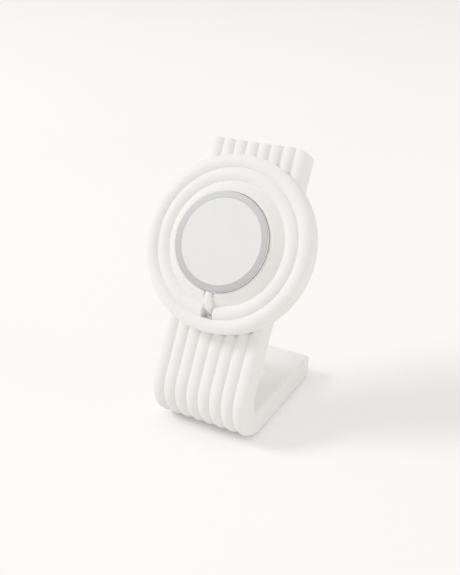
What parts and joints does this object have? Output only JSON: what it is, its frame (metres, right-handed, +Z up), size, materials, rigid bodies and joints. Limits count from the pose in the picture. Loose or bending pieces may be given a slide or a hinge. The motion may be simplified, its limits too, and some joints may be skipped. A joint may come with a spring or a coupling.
{
  "type": "wireless charging stand",
  "caption": "Reeded band bent into a leaning column and foot, with a beaded disc that holds a round magnetic charger on a corded lead.",
  "frame": {"origin": "middle of the stand's footprint box on the plane that the rubber feet rest on, with the lead left out", "axes": "+X to the object's right as seen from its front, +Y to the rear, +Z up"},
  "size_m": [0.1294, 0.1536, 0.1557],
  "materials": {
    "stand_paint": "matte",
    "brass": "satin",
    "screw_steel": "satin",
    "feet_rubber": "matte",
    "charger_aluminium": "satin",
    "face_plastic": "matte",
    "magnet_metal": "satin",
    "copper_wire": "satin",
    "ferrite": "matte",
    "board": "satin",
    "chip_plastic": "matte",
    "core_plastic": "satin",
    "lead_rubber": "matte",
    "tie_plastic": "matte",
    "grip_plastic": "satin",
    "shell_steel": "satin",
    "contact_gold": "polished"
  },
  "bodies": {
    "root": {"stand_band": "stand_paint", "charger_disc": "stand_paint", "thread_inserts": "brass", "fixing_screws": "screw_steel", "rubber_feet": "feet_rubber", "charger_housing": "charger_aluminium", "charger_back": "charger_aluminium", "charger_face": "face_plastic", "ring_magnets": "magnet_metal", "charging_coil": "copper_wire", "ferrite_sheet": "ferrite", "circuit_board": "board", "board_parts": "chip_plastic", "lead_cores": "core_plastic", "lead_collar": "lead_rubber", "cord_lead": "lead_rubber", "cord_coil": "lead_rubber", "cord_tail": "lead_rubber", "cord_tie": "tie_plastic", "plug_grip": "grip_plastic", "plug_shell": "shell_steel", "plug_tongue": "chip_plastic", "plug_contacts": "contact_gold"}
  },
  "joints": []
}
